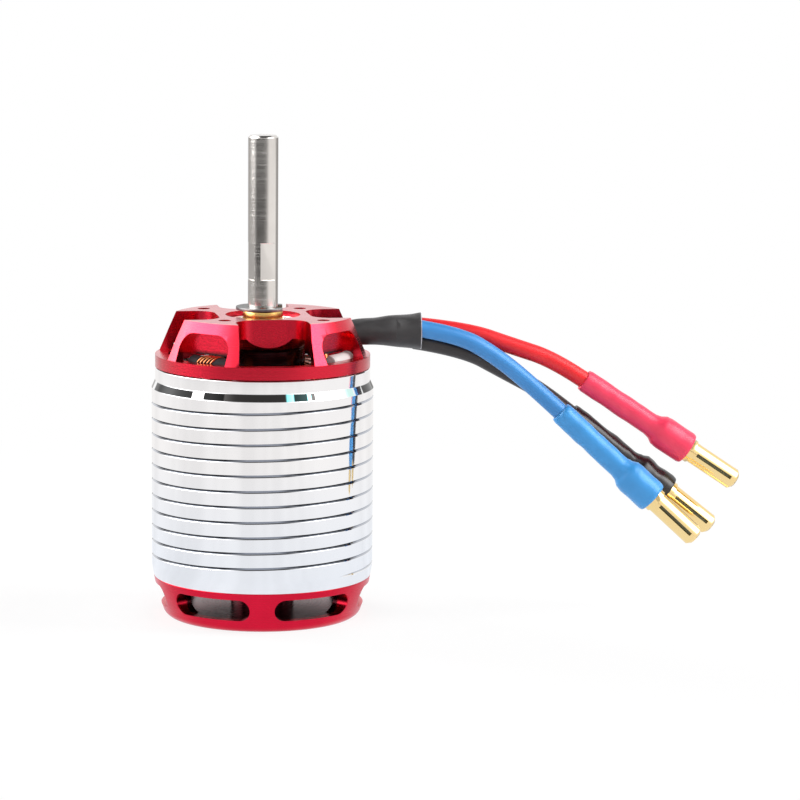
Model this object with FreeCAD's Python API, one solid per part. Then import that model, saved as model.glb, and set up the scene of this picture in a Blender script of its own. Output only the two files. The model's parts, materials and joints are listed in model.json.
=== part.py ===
import FreeCAD, Part
import math
import os

# Brushless outrunner motor standing on its end cap, shaft up. Millimetres, +Z along the shaft.
# The origin is on the shaft's axis in the plane of the end cap's foot.
# Bearings about the axis are in degrees: 0 faces -Y and 90 faces +X.

V = FreeCAD.Vector
UP = V(0, 0, 1)

# driving sizes
shaft_r = 3.0
can_r = 22.25
can_wall = 2.25
can_bottom = 8.07
can_height = 42.22
mount_height = 10.31
mount_clearance = 0.25
bearing_r = 7.5
bearing_height = 5.0
magnet_thickness = 2.05
air_gap = 0.45
can_top = can_bottom + can_height
can_bore_r = can_r - can_wall
flange_low = can_top + mount_clearance
mount_top = flange_low + mount_height

# shaft
shaft_bottom = 0.6
shaft_reach = 35.95
shaft_top = mount_top + shaft_reach
shaft_chamfer = 0.45
flat_high = shaft_top - 21.4
flat_low = flat_high - 7.4
flat_depth = 0.46
flat_bearings = (22.0, -68.0)

# rotating shell: end cap, can and magnets
can_foot_r = can_r - 0.39
can_foot_chamfer = 2.2
can_rim_r = can_r - 0.68
can_rim_low = can_top - 2.46
can_rim_cone = 1.54
cap_foot_r = can_foot_r - 3.16
cap_edge_width = 1.4
cap_edge_height = 1.7
cap_edge_bulge = 0.28
cap_side_bulge = 0.2
cap_wall = 1.9
cap_floor = 2.3
cap_spigot = 2.4
cap_recess_r = cap_foot_r - 2.7
cap_recess = 0.3
hub_wall = 3.4
hub_r = shaft_r + hub_wall
hub_top = can_bottom + 0.53
slot_count = 6
slot_first = 30.0
slot_low = cap_floor + 0.1
slot_high = can_bottom - 1.27
slot_span = 46.0
slot_inner_r = hub_r + 4.0
magnet_count = 10
magnet_span = 32.0
magnet_low = can_bottom + 3.93
magnet_high = can_top - 5.29

# grub screws that clamp the shaft in the end cap's hub
screw_r = 1.5
screw_z = hub_top - 4.0
screw_flat = 0.3
screw_sunk = 0.5
screw_bearings = (90.0, 150.0)
socket_across = 1.5
socket_depth = 1.4

# bearings: 6 x 15 x 5
race_wall = 1.3
race_inner_r = shaft_r + race_wall
race_outer_r = bearing_r - race_wall
ball_sink = 0.25
ball_r = (race_outer_r - race_inner_r) / 2 + ball_sink
ball_count = 8
ball_play = 0.05
cage_wall = 1.0
cage_height = 3.0
shield_thickness = 0.3
shield_inset = 0.2
shield_play = 0.2
hub_spacer_height = 1.0
lower_bearing_low = hub_top + hub_spacer_height
upper_bearing_cover = 1.75
upper_bearing_top = mount_top - upper_bearing_cover

# fixed mount with its bearing tube
flange_r = can_rim_r
flange_height = 2.45
flange_high = flange_low + flange_height
flange_bore_r = flange_r - 2.67
cone_foot_r = flange_r - 0.22
cone_top_r = flange_r - 3.47
plate_underside = mount_top - 3.75
skirt_r = 13.3
skirt_low = mount_top - 6.45
tube_wall = 1.0
tube_r = bearing_r + tube_wall
tube_low = lower_bearing_low - 0.2
tube_bore_r = shaft_r + 1.6
boss_r = tube_r + 2.0
boss_low = skirt_low - 0.2
gap_width_top = 14.3
gap_width_foot = 15.5
gap_depth_r = tube_r + 0.7
gap_corner_r = 4.0
mount_turn = 8.0
window_width = 12.2
window_high = mount_top - 2.05
window_corner_r = 3.4
window_depth_r = flange_r - 4.97
upper_seat = upper_bearing_top - bearing_height
lower_seat = lower_bearing_low + bearing_height
hole_r = 1.25
hole_depth = 4.5
wide_pair_r = 15.0
narrow_pair_r = 12.5
wide_pair_bearing = 53.0
narrow_pair_bearing = 143.0

# rings and spacers on the shaft
spacer_r = shaft_r + 1.0
spacer_top = mount_top + 1.05
clip_r = shaft_r + 2.4
clip_thickness = 0.6
clip_groove_r = shaft_r - 0.4
clip_reach = shaft_r + 0.9
clip_mouth = 4.4
clip_relief_r = 0.9
clip_relief_out = 0.7
circlip_thickness = 0.8
circlip_bite = 0.35
circlip_width = 0.95
circlip_lug_r = 1.15
circlip_hole_r = 0.5
circlip_mouth = 3.0
circlip_lug_bearings = (-80.0, 80.0)
groove_play = 0.1

# stator
tooth_count = 12
stator_r = can_bore_r - magnet_thickness - air_gap
stator_low = magnet_low + 1.5
stator_high = magnet_high - 1.5
yoke_r = tube_r + 2.5
tooth_width = 3.2
tip_r = stator_r - 1.8
tip_span = 25.0
tooth_root = 0.5
insulator = 0.6
insulator_inset = 0.2
coil_inner_r = yoke_r + 0.3
coil_outer_r = tip_r - 0.55
coil_gap = 0.2
coil_rise = 2.3
coil_corner_r = 2.2
coil_top = stator_high + insulator + coil_rise

# insulating sleeves over the star point and a joint, and the wire tails that lead to them
joint_tube_r = 1.5
joint_play = 0.15
joint_r = flange_bore_r - joint_tube_r - joint_play
joint_z = skirt_low - joint_tube_r - 2 * joint_play
star_bearings = (-54.0, -18.0)
joint_bearings = (50.0, 78.0)
tail_r = 0.7
tail_foot_inset = 0.5
tail_head_inset = 0.6
tail_bite = 0.3
tail_bearings = (-36.0, -30.0, -24.0, 56.0, 64.0)

# leads
wire_r = 1.75
sleeve_end = V(31.8, 2.6, 57.2)
sleeve_waist = V(20.5, 2.5, 57.2)
sleeve_start = V(13.6, 1.9, 56.5)
sleeve_start_r = 2.4
sleeve_waist_r = 2.6
sleeve_end_y = 4.35
sleeve_end_z = 3.65
shrink_r = 2.35
shrink_length = 17.2
shrink_taper = 1.6
shrink_big_r = 3.4
shrink_big_length = 7.2
shrink_edge = 0.4
shrink_end = shrink_length + shrink_taper + shrink_big_length
bullet_r = 2.2
bullet_length = 12.0
bullet_seat = 7.0
bullet_seat_r = bullet_r + 0.4
bullet_collar_r = bullet_r + 0.3
bullet_collar = 1.0
bullet_bore_r = 1.3
bullet_slit = 0.7
bullet_slit_length = 8.6
bullet_slit_root = 0.9
bullet_tip = 0.7
phase_r = 0.95

# each lead's route, from the sleeve's mouth to the start of its heat-shrink
routes = {
    "blue": [V(30.5, 0.4, 58.2), V(39.6, 1.1, 56.7), V(47.0, 1.8, 52.3), V(53.8, 2.6, 46.8),
             V(60.2, 2.4, 40.9)],
    "red": [V(30.5, 4.9, 58.1), V(41.0, 5.5, 57.1), V(50.6, 5.8, 53.8), V(59.0, 6.6, 51.0),
            V(65.3, 6.9, 46.8)],
    "black": [V(30.5, 2.6, 55.3), V(40.6, 4.2, 53.5), V(48.9, 5.9, 48.8), V(56.6, 7.3, 44.6),
              V(62.7, 7.8, 39.7)],
}

# each phase's route, from the top of a coil into the sleeve's inner end
phase_routes = {
    "blue": [V(12.6, 0.0, 46.4), V(12.6, 0.0, 51.6), V(10.9, 1.8, 56.4), V(14.2, 1.95, 57.65)],
    "red": [V(10.6, -6.1, 46.4), V(10.6, -6.1, 51.8), V(10.3, -2.4, 54.8), V(14.2, 0.95, 56.0)],
    "black": [V(11.0, 6.4, 46.4), V(11.0, 6.4, 51.6), V(10.5, 5.0, 55.0), V(14.2, 3.0, 55.95)],
}


def save(name, shape):
    print(name, "solids", len(shape.Solids), "volume", round(shape.Volume, 2), shape.isValid())
    shape.exportStep("parts/" + name + ".step")


def faced(shape, bearing):
    # turns a shape made along +X so that it faces the given bearing
    turned = shape.copy()
    turned.rotate(V(0, 0, 0), UP, bearing - 90)
    return turned


def spot(radius, bearing, z):
    angle = math.radians(bearing - 90)
    return V(radius * math.cos(angle), radius * math.sin(angle), z)


def ring(outer, inner, low, high):
    return Part.makeCylinder(outer, high - low, V(0, 0, low)).cut(
        Part.makeCylinder(inner, high - low, V(0, 0, low)))


def revolved(profile):
    # profile: (radius, z) corners of a closed outline
    corners = [V(r, 0, z) for r, z in profile]
    face = Part.Face(Part.makePolygon(corners + corners[:1]))
    return face.revolve(V(0, 0, 0), UP, 360)


def sector(outer, inner, low, high, span):
    # part of a ring, centred on +X
    face = Part.Face(Part.makePolygon([V(inner, 0, low), V(outer, 0, low), V(outer, 0, high),
                                       V(inner, 0, high), V(inner, 0, low)]))
    solid = face.revolve(V(0, 0, 0), UP, span)
    solid.rotate(V(0, 0, 0), UP, -span / 2)
    return solid


def wedge(points, low, high):
    # prism on an outline in the plane of the foot
    face = Part.Face(Part.makePolygon([V(x, y, low) for x, y in points + points[:1]]))
    return face.extrude(V(0, 0, high - low))


def upright_arch(width, low, high, corner, near, far):
    # block along +X from near to far, with its two upper edges rounded
    block = Part.makeBox(far - near, width, high - low, V(near, -width / 2, low))
    edges = [e for e in block.Edges if abs(e.CenterOfMass.z - high) < 1e-6
             and abs(abs(e.CenterOfMass.y) - width / 2) < 1e-6]
    return block.makeFillet(corner, edges)


def bend(before, corner, after):
    # tangent points, middle point and radius of the arc at a corner of a route
    run_in = before - corner
    run_out = after - corner
    tangent = 0.45 * min(run_in.Length, run_out.Length)
    unit_in = V(run_in).normalize()
    unit_out = V(run_out).normalize()
    half_turn = (math.pi - unit_in.getAngle(unit_out)) / 2
    radius = tangent / math.tan(half_turn)
    middle_line = (unit_in + unit_out).normalize()
    reach = radius / math.cos(half_turn) - radius
    return corner + unit_in * tangent, corner + middle_line * reach, corner + unit_out * tangent, radius


def tube(points, radius, label):
    # straight runs joined by tangent arcs, with a round section
    edges = []
    start = points[0]
    radii = []
    for before, corner, after in zip(points, points[1:], points[2:]):
        first, middle, last, arc_radius = bend(before, corner, after)
        edges.append(Part.LineSegment(start, first).toShape())
        edges.append(Part.Arc(first, middle, last).toShape())
        radii.append(round(arc_radius, 1))
        start = last
    edges.append(Part.LineSegment(start, points[-1]).toShape())
    path = Part.Wire(edges)
    section = Part.Wire(Part.makeCircle(radius, points[0], points[1] - points[0]))
    solid = path.makePipeShell([section], True, False)
    expected = math.pi * radius ** 2 * path.Length
    print(label, "length", round(path.Length, 1), "arc radii", radii,
          "volume against section", round(solid.Volume / expected, 4))
    return solid


def along(shape, start, direction):
    # places a shape made along +Z from the origin
    placed = shape.copy()
    placed.Placement = FreeCAD.Placement(start, FreeCAD.Rotation(UP, direction))
    return placed


def make_shaft():
    body = Part.makeCylinder(shaft_r, shaft_top - shaft_bottom, V(0, 0, shaft_bottom))
    ends = [e for e in body.Edges if e.Curve.TypeId == "Part::GeomCircle"]
    body = body.makeChamfer(shaft_chamfer, ends)
    for bearing in flat_bearings:
        flat = Part.makeBox(shaft_r, 2 * shaft_r, flat_high - flat_low,
                            V(shaft_r - flat_depth, -shaft_r, flat_low))
        body = body.cut(faced(flat, bearing))
    for bearing in screw_bearings:
        flat = Part.makeBox(shaft_r, 2 * shaft_r, 2 * screw_r,
                            V(shaft_r - screw_flat, -shaft_r, screw_z - screw_r))
        body = body.cut(faced(flat, bearing))
    return body.cut(ring(shaft_r + 1, clip_groove_r, spacer_top, spacer_top + clip_thickness))


def make_can():
    return revolved([(can_bore_r, can_bottom), (can_foot_r, can_bottom),
                     (can_r, can_bottom + can_foot_chamfer), (can_r, can_rim_low - can_rim_cone),
                     (can_rim_r, can_rim_low), (can_rim_r, can_top), (can_bore_r, can_top)])


def bulged(upper, lower, bulge):
    # arc between two points of an outline in the XZ plane, bulging away from the axis
    run = lower - upper
    outward = V(-run.z, 0, run.x).normalize()
    return Part.Arc(upper, (upper + lower) / 2 + outward * bulge, lower).toShape()


def make_cap():
    # outer side: a wide arc down the side and a small one into the foot
    side_top = V(can_foot_r, 0, can_bottom)
    side_low = V(cap_foot_r + cap_edge_width, 0, cap_edge_height)
    foot = V(cap_foot_r, 0, 0)
    corners = [foot, V(cap_recess_r, 0, 0), V(cap_recess_r, 0, cap_recess), V(0, 0, cap_recess),
               V(0, 0, can_bottom + cap_spigot), V(can_bore_r, 0, can_bottom + cap_spigot),
               V(can_bore_r, 0, can_bottom), side_top]
    edges = [Part.LineSegment(a, b).toShape() for a, b in zip(corners, corners[1:])]
    edges.append(bulged(side_top, side_low, cap_side_bulge))
    edges.append(bulged(side_low, foot, cap_edge_bulge))
    body = Part.Face(Part.Wire(edges)).revolve(V(0, 0, 0), UP, 360)
    spigot_bore = can_bore_r - cap_wall
    floor_bore = cap_foot_r - cap_wall
    body = body.cut(revolved([(hub_r, cap_floor), (floor_bore, cap_floor), (spigot_bore, slot_high),
                              (spigot_bore, can_bottom + cap_spigot), (hub_r, can_bottom + cap_spigot)]))
    body = body.cut(Part.makeCylinder(hub_r, can_bottom + cap_spigot - hub_top, V(0, 0, hub_top)))
    body = body.cut(Part.makeCylinder(shaft_r, hub_top))
    for index in range(slot_count):
        body = body.cut(faced(cap_slot(), slot_first + index * 360 / slot_count))
    for bearing in screw_bearings:
        hole = Part.makeCylinder(screw_r, hub_r, V(0, 0, screw_z), V(1, 0, 0))
        body = body.cut(faced(hole, bearing))
    return body


def cap_slot():
    # racetrack opening: a sector between two round ends
    half_height = (slot_high - slot_low) / 2
    middle_z = (slot_high + slot_low) / 2
    end_angle = slot_span / 2 - math.degrees(half_height / can_r)
    opening = sector(can_r + 1, slot_inner_r, slot_low, slot_high, 2 * end_angle)
    for sign in (-1, 1):
        end = Part.makeCylinder(half_height, can_r + 1 - slot_inner_r, V(slot_inner_r, 0, middle_z),
                                V(1, 0, 0))
        end.rotate(V(0, 0, 0), UP, sign * end_angle)
        opening = opening.fuse(end)
    return opening


def make_screws():
    screws = []
    tip = shaft_r - screw_flat
    mouth = hub_r - screw_sunk
    across_corners = socket_across / math.cos(math.radians(30)) / 2
    for bearing in screw_bearings:
        body = Part.makeCylinder(screw_r, mouth - tip, V(tip, 0, screw_z), V(1, 0, 0))
        corners = [V(mouth - socket_depth, across_corners * math.cos(math.radians(60 * k)),
                     screw_z + across_corners * math.sin(math.radians(60 * k))) for k in range(7)]
        socket = Part.Face(Part.makePolygon(corners)).extrude(V(socket_depth, 0, 0))
        screws.append(faced(body.cut(socket), bearing))
    return Part.makeCompound(screws)


def make_magnet(index):
    body = sector(can_bore_r, can_bore_r - magnet_thickness, magnet_low, magnet_high, magnet_span)
    return faced(body, index * 360 / magnet_count)


def make_mount():
    body = revolved([(flange_bore_r, flange_low), (flange_r, flange_low), (flange_r, flange_high),
                     (cone_foot_r, flange_high), (cone_top_r, mount_top), (0, mount_top),
                     (0, skirt_low), (flange_bore_r, skirt_low)])
    body = body.cut(ring(skirt_r, 0.01, skirt_low, plate_underside))
    body = body.cut(ring(flange_bore_r, skirt_r, skirt_low - 1, skirt_low))
    body = body.fuse(revolved([(0, tube_low), (tube_r, tube_low), (tube_r, boss_low),
                               (boss_r, plate_underside), (boss_r, upper_bearing_top),
                               (0, upper_bearing_top)]))
    for index in range(4):
        bearing = mount_turn + 90 * index
        body = body.cut(faced(mount_gap(), bearing))
        window = upright_arch(window_width, flange_high, window_high, window_corner_r,
                              window_depth_r, flange_r + 1)
        body = body.cut(faced(window, bearing + 45))
    body = body.cut(Part.makeCylinder(tube_bore_r, mount_top))
    body = body.cut(Part.makeCylinder(bearing_r, mount_top - upper_seat, V(0, 0, upper_seat)))
    body = body.cut(Part.makeCylinder(bearing_r, lower_seat - tube_low, V(0, 0, tube_low)))
    groove = ring(bearing_r + circlip_bite + groove_play, bearing_r - circlip_width, upper_bearing_top,
                  upper_bearing_top + circlip_thickness + groove_play)
    body = body.cut(groove)
    for radius, bearing in hole_places():
        foot = spot(radius, bearing, mount_top - hole_depth)
        body = body.cut(Part.makeCylinder(hole_r, hole_depth, foot))
    return body.removeSplitter()


def hole_places():
    return [(wide_pair_r, wide_pair_bearing), (wide_pair_r, wide_pair_bearing + 180),
            (narrow_pair_r, narrow_pair_bearing), (narrow_pair_r, narrow_pair_bearing + 180)]


def mount_gap():
    # open notch between two arms, a little wider at its foot, down to the flange's top
    reach = cone_foot_r + 2 * (cone_foot_r - cone_top_r) / 3
    half_top = gap_width_top / 2
    spread = (gap_width_foot - gap_width_top) / 2 / (cone_foot_r - cone_top_r)
    half_reach = half_top + spread * (reach - cone_top_r)
    plan = wedge([(gap_depth_r, -half_top), (cone_top_r, -half_top), (reach, -half_reach),
                  (reach, half_reach), (cone_top_r, half_top), (gap_depth_r, half_top)],
                 flange_high, mount_top + 1)
    inner_edges = [e for e in plan.Edges if abs(e.CenterOfMass.x - gap_depth_r) < 1e-6
                   and abs(abs(e.CenterOfMass.y) - half_top) < 1e-6]
    return plan.makeFillet(gap_corner_r, inner_edges)


def make_circlip():
    low = upper_bearing_top
    high = low + circlip_thickness
    outer = bearing_r + circlip_bite
    inner = bearing_r - circlip_width
    body = ring(outer, inner, low, high)
    mouth = Part.makeBox(outer, circlip_mouth, circlip_thickness, V(0, -circlip_mouth / 2, low))
    body = body.cut(faced(mouth, 180))
    for bearing in circlip_lug_bearings:
        lug = Part.makeCylinder(circlip_lug_r, circlip_thickness, spot(inner, bearing, low))
        body = body.fuse(lug)
    for bearing in circlip_lug_bearings:
        body = body.cut(Part.makeCylinder(circlip_hole_r, circlip_thickness, spot(inner, bearing, low)))
    return body.removeSplitter()


def make_clip():
    body = Part.makeCylinder(clip_r, clip_thickness, V(0, 0, spacer_top))
    body = body.cut(Part.makeCylinder(clip_groove_r, clip_thickness, V(0, 0, spacer_top)))
    mouth = Part.makeBox(clip_r, clip_mouth, clip_thickness, V(0, -clip_mouth / 2, spacer_top))
    beyond = Part.makeBox(clip_r, 2 * clip_r, clip_thickness, V(clip_reach, -clip_r, spacer_top))
    body = body.cut(mouth).cut(beyond)
    for bearing in (0, 180):
        relief = Part.makeCylinder(clip_relief_r, clip_thickness,
                                   spot(clip_groove_r + clip_relief_out, bearing, spacer_top))
        body = body.cut(relief)
    return body


def bearing_pieces(low):
    middle = low + bearing_height / 2
    high = low + bearing_height
    pitch_r = (race_inner_r + race_outer_r) / 2
    track = Part.makeTorus(pitch_r, ball_r + ball_play, V(0, 0, middle))
    inner_ring = ring(race_inner_r, shaft_r, low, high).cut(track)
    outer_ring = ring(bearing_r, race_outer_r, low, high).cut(track)
    cage = ring(pitch_r + cage_wall / 2, pitch_r - cage_wall / 2, middle - cage_height / 2,
                middle + cage_height / 2)
    balls = []
    for index in range(ball_count):
        centre = spot(pitch_r, index * 360 / ball_count, middle)
        balls.append(Part.makeSphere(ball_r, centre))
        outward = V(centre.x, centre.y, 0)
        cage = cage.cut(Part.makeCylinder(ball_r + ball_play, 2 * pitch_r, V(0, 0, middle), outward))
    shield_bore = race_inner_r + shield_play
    shields = [ring(race_outer_r, shield_bore, low + shield_inset, low + shield_inset + shield_thickness),
               ring(race_outer_r, shield_bore, high - shield_inset - shield_thickness,
                    high - shield_inset)]
    return inner_ring, outer_ring, cage, Part.makeCompound(balls), Part.makeCompound(shields)


def core_plate(outer, low, high):
    height = high - low
    body = ring(yoke_r, tube_r, low, high)
    for index in range(tooth_count):
        tooth = Part.makeBox(tip_r - yoke_r + 2 * tooth_root, tooth_width, height,
                             V(yoke_r - tooth_root, -tooth_width / 2, low))
        tip = sector(outer, tip_r, low, high, tip_span)
        body = body.fuse([faced(tooth, index * 360 / tooth_count), faced(tip, index * 360 / tooth_count)])
    return body.removeSplitter()


def make_coil(index):
    low = stator_low - insulator - coil_rise
    half_pitch = math.tan(math.pi / tooth_count)
    coil_inner_half = coil_inner_r * half_pitch - coil_gap
    coil_outer_half = coil_outer_r * half_pitch - coil_gap
    block = Part.makeBox(coil_outer_r - coil_inner_r, 2 * coil_outer_half, coil_top - low,
                         V(coil_inner_r, -coil_outer_half, low))
    edges = [e for e in block.Edges if abs(abs(e.CenterOfMass.y) - coil_outer_half) < 1e-6
             and (abs(e.CenterOfMass.z - low) < 1e-6 or abs(e.CenterOfMass.z - coil_top) < 1e-6)]
    block = block.makeFillet(coil_corner_r, edges)
    taper = wedge([(coil_inner_r, -coil_inner_half), (coil_outer_r, -coil_outer_half),
                   (coil_outer_r, coil_outer_half), (coil_inner_r, coil_inner_half)], low, coil_top)
    tooth = Part.makeBox(coil_outer_r, tooth_width, stator_high - stator_low + 2 * insulator,
                         V(coil_inner_r - 1, -tooth_width / 2, stator_low - insulator))
    return faced(block.common(taper).cut(tooth), index * 360 / tooth_count)


def make_joint(bearings):
    # part of a ring of round section, between two bearings
    section = Part.Face(Part.Wire(Part.makeCircle(joint_tube_r, V(joint_r, 0, joint_z), V(0, 1, 0))))
    body = section.revolve(V(0, 0, 0), UP, bearings[1] - bearings[0])
    return faced(body, bearings[0])


def make_tails(joints):
    tails = []
    for bearing in tail_bearings:
        foot = spot(coil_outer_r - tail_r - tail_foot_inset, bearing, coil_top - tail_r)
        head = spot(joint_r - tail_head_inset, bearing, joint_z - joint_tube_r + tail_bite)
        tail = Part.makeCylinder(tail_r, (head - foot).Length, foot, head - foot)
        below = Part.makeBox(2 * can_r, 2 * can_r, coil_top, V(-can_r, -can_r, 0))
        tails.append(tail.cut([below] + joints))
    return Part.makeCompound(tails)


def make_sleeve(wires):
    start_turn = sleeve_waist - sleeve_start
    first = Part.Wire(Part.makeCircle(sleeve_start_r, sleeve_start, start_turn))
    waist = Part.Wire(Part.makeCircle(sleeve_waist_r, sleeve_waist, V(1, 0, 0)))
    mouth = Part.Ellipse(V(0, 0, 0), sleeve_end_y, sleeve_end_z).toShape()
    mouth.rotate(V(0, 0, 0), V(0, 1, 0), 90)
    mouth.rotate(V(0, 0, 0), V(1, 0, 0), 90)
    mouth.translate(sleeve_end)
    return Part.makeLoft([first, waist, Part.Wire(mouth)], True, False).cut(wires)


def make_shrink(start, direction):
    swell = shrink_length + shrink_taper
    body = revolved([(0, 0), (shrink_r, 0), (shrink_r, shrink_length), (shrink_big_r, swell),
                     (shrink_big_r, shrink_end - shrink_edge), (shrink_big_r - shrink_edge, shrink_end),
                     (0, shrink_end)])
    body = body.cut(Part.makeCylinder(bullet_seat_r, bullet_seat, V(0, 0, shrink_end - bullet_seat)))
    return along(body, start, direction)


def make_bullet(start, direction):
    tip = shrink_end + bullet_length
    neck = shrink_end + bullet_collar
    body = revolved([(0, shrink_end - bullet_seat), (bullet_seat_r, shrink_end - bullet_seat),
                     (bullet_seat_r, shrink_end), (bullet_collar_r, shrink_end), (bullet_collar_r, neck),
                     (bullet_r, neck), (bullet_r, tip - bullet_tip), (bullet_r - bullet_tip, tip),
                     (0, tip)])
    bore_depth = tip - neck
    body = body.cut(Part.makeCylinder(bullet_bore_r, bore_depth, V(0, 0, tip - bore_depth)))
    for angle in (0, 90):
        slit = Part.makeBox(3 * bullet_r, bullet_slit, bullet_slit_length,
                            V(-1.5 * bullet_r, -bullet_slit / 2, neck + bullet_slit_root))
        slit.rotate(V(0, 0, 0), UP, angle)
        body = body.cut(slit)
    return along(body, start, direction)


os.makedirs("parts", exist_ok=True)

# rotating pieces
save("shaft", make_shaft())
save("flux_can", make_can())
save("end_cap", make_cap())
save("hub_screws", make_screws())
for number in range(magnet_count):
    save("magnet_%02d" % (number + 1), make_magnet(number))
save("shaft_spacer", ring(spacer_r, shaft_r, upper_bearing_top, spacer_top))
save("shaft_clip", make_clip())
save("hub_spacer", ring(spacer_r, shaft_r, hub_top, lower_bearing_low))

# fixed pieces
save("mount", make_mount())
save("bearing_circlip", make_circlip())
save("stator_core", core_plate(stator_r, stator_low, stator_high))
save("upper_insulator", core_plate(stator_r - insulator_inset, stator_high, stator_high + insulator))
save("lower_insulator", core_plate(stator_r - insulator_inset, stator_low - insulator, stator_low))
for number in range(tooth_count):
    save("coil_%02d" % (number + 1), make_coil(number))
star_sleeve = make_joint(star_bearings)
joint_sleeve = make_joint(joint_bearings)
save("star_sleeve", star_sleeve)
save("joint_sleeve", joint_sleeve)
save("winding_tails", make_tails([star_sleeve, joint_sleeve]))

# bearings
for place, low in (("upper", upper_seat), ("lower", lower_bearing_low)):
    inner_ring, outer_ring, cage, balls, shields = bearing_pieces(low)
    save(place + "_inner_ring", inner_ring)
    save(place + "_outer_ring", outer_ring)
    save(place + "_cage", cage)
    save(place + "_balls", balls)
    save(place + "_shields", shields)

# leads
wires = []
for colour, route in routes.items():
    phase = tube(phase_routes[colour], phase_r, colour + " phase")
    wire = tube(route, wire_r, colour + " wire")
    heading = route[-1] - route[-2]
    wires += [phase, wire]
    save(colour + "_phase", phase)
    save(colour + "_wire", wire)
    save(colour + "_shrink", make_shrink(route[-1], heading))
    save(colour + "_bullet", make_bullet(route[-1], heading))
save("lead_sleeve", make_sleeve(wires))
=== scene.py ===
import bmesh
import bpy
import json
import math
from mathutils import Matrix, Vector, noise

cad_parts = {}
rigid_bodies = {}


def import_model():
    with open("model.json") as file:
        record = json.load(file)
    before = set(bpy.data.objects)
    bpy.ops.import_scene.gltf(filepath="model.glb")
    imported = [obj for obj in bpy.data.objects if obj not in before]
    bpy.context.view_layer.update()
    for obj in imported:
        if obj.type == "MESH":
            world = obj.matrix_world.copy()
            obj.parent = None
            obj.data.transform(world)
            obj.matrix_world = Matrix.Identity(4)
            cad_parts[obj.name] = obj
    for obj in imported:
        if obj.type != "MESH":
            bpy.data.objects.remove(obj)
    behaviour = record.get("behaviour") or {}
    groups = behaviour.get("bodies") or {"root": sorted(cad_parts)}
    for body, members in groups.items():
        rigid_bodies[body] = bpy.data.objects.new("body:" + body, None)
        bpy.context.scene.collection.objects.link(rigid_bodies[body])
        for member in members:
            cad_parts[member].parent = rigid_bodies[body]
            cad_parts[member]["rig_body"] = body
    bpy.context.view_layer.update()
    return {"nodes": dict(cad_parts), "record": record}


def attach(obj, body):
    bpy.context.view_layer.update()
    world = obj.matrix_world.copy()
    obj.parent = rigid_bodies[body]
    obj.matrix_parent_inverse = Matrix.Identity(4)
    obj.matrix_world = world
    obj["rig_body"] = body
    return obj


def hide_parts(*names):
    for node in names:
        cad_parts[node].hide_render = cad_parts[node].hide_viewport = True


# An outrunner motor standing on its end cap, with its three leads hanging to the right.
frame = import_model()
mm = 0.001
nodeSlot = {entry["node"]: entry["material_slot"] for entry in frame["record"]["subparts"]}


# camera

cameraView = {"place": (0.0, -0.6844, 0.1473), "lens": 154.82, "down": 8.612, "right": 2.312, "roll": 0.491}


def placeCamera():
    data = bpy.data.cameras.new("camera")
    data.lens = cameraView["lens"]
    data.sensor_width = 36
    data.clip_start = 0.01
    camera = bpy.data.objects.new("camera", data)
    bpy.context.scene.collection.objects.link(camera)
    turn = Matrix.Rotation(math.radians(-cameraView["right"]), 4, "Z")
    tilt = Matrix.Rotation(math.radians(90 - cameraView["down"]), 4, "X")
    roll = Matrix.Rotation(math.radians(cameraView["roll"]), 4, "Z")
    camera.matrix_world = Matrix.Translation(cameraView["place"]) @ turn @ tilt @ roll
    bpy.context.scene.camera = camera


placeCamera()
print("camera placed")


# node building

def addNode(tree, kind, inputs=None, **settings):
    # inputs: socket name or number to a value, or to another node's output
    node = tree.nodes.new(kind)
    for key, value in settings.items():
        setattr(node, key, value)
    for key, value in (inputs or {}).items():
        if isinstance(value, bpy.types.NodeSocket):
            tree.links.new(value, node.inputs[key])
        else:
            node.inputs[key].default_value = value
    return node


def startMaterial(name):
    material = bpy.data.materials.new(name)
    material.use_nodes = True
    tree = material.node_tree
    tree.nodes.clear()
    surface = addNode(tree, "ShaderNodeBsdfPrincipled")
    output = addNode(tree, "ShaderNodeOutputMaterial")
    tree.links.new(surface.outputs["BSDF"], output.inputs["Surface"])
    place = addNode(tree, "ShaderNodeTexCoord").outputs["Object"]
    return material, tree, surface, place


def calc(tree, operation, *values):
    # one sum on numbers or other nodes' outputs
    return addNode(tree, "ShaderNodeMath", dict(enumerate(values)), operation=operation).outputs[0]


def grain(tree, vector, scale, detail=3.0, rough=0.55):
    inputs = {"Vector": vector, "Scale": scale, "Detail": detail, "Roughness": rough}
    return addNode(tree, "ShaderNodeTexNoise", inputs).outputs["Fac"]


def spread(tree, value, low, high, start=0.3, end=0.7):
    node = addNode(tree, "ShaderNodeMapRange", {"Value": value, "From Min": start, "From Max": end,
                                                "To Min": low, "To Max": high})
    return node.outputs["Result"]


def blendColour(tree, amount, first, second):
    # each colour is a triple or another node's output
    ends = [end if isinstance(end, bpy.types.NodeSocket) else (*end, 1) for end in (first, second)]
    node = addNode(tree, "ShaderNodeMix", {0: amount, 6: ends[0], 7: ends[1]}, data_type="RGBA")
    return node.outputs[2]


def blendValue(tree, amount, first, second):
    node = addNode(tree, "ShaderNodeMix", {0: amount, 2: first, 3: second}, data_type="FLOAT")
    return node.outputs[0]


def axes(tree, vector):
    return addNode(tree, "ShaderNodeSeparateXYZ", {0: vector}).outputs


def flattened(tree, place):
    return addNode(tree, "ShaderNodeVectorMath", {0: place, 1: (1, 1, 0)}, operation="MULTIPLY").outputs[0]


def distance(tree, vector):
    return addNode(tree, "ShaderNodeVectorMath", {0: vector}, operation="LENGTH").outputs["Value"]


def bearingRound(tree, place):
    # angle round the motor's axis: 0 faces -Y and it grows towards +X
    split = axes(tree, place)
    front = calc(tree, "MULTIPLY", split["Y"], -1.0)
    return calc(tree, "ARCTAN2", split["X"], front)


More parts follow.
